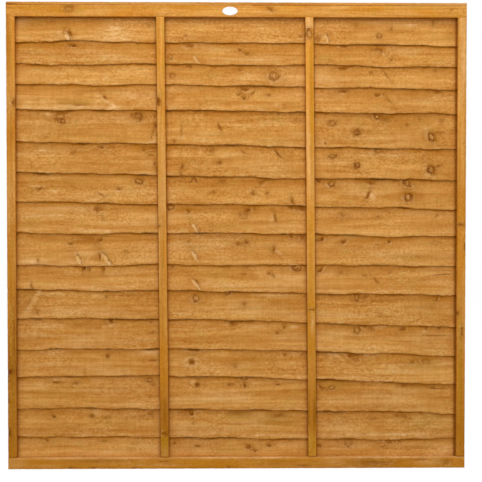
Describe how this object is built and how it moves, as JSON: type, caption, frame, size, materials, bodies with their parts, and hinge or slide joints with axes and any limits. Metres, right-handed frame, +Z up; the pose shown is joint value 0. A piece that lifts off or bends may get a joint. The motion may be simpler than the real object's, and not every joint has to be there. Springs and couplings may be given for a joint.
{
  "type": "overlap fence panel",
  "caption": "Square garden fence panel of overlapping waney-edged boards held between front and rear battens, with a capping strip on top.",
  "frame": {"origin": "on the left end, half way up and in the middle of the outer side of the front edge batten, where the panel meets its post", "axes": "+Z up, +X from the left end to the right end as seen from the front, the front looks along -Y"},
  "size_m": [1.828, 0.0459, 1.858],
  "materials": {
    "boards": "sawn, dip treated",
    "frame": "sawn, dip treated",
    "capping": "sawn, dip treated",
    "plate": "plain moulded",
    "nails": "dull galvanised"
  },
  "bodies": {
    "root": {"lap_board_01": "boards", "lap_board_02": "boards", "lap_board_03": "boards", "lap_board_04": "boards", "lap_board_05": "boards", "lap_board_06": "boards", "lap_board_07": "boards", "lap_board_08": "boards", "lap_board_09": "boards", "lap_board_10": "boards", "lap_board_11": "boards", "lap_board_12": "boards", "lap_board_13": "boards", "lap_board_14": "boards", "lap_board_15": "boards", "lap_board_16": "boards", "front_top_rail": "frame", "front_bottom_rail": "frame", "front_left_edge_batten": "frame", "front_right_edge_batten": "frame", "front_left_inner_batten": "frame", "front_right_inner_batten": "frame", "rear_top_rail": "frame", "rear_bottom_rail": "frame", "rear_left_edge_batten": "frame", "rear_right_edge_batten": "frame", "rear_left_inner_batten": "frame", "rear_right_inner_batten": "frame", "capping_strip": "capping"}
  },
  "joints": []
}
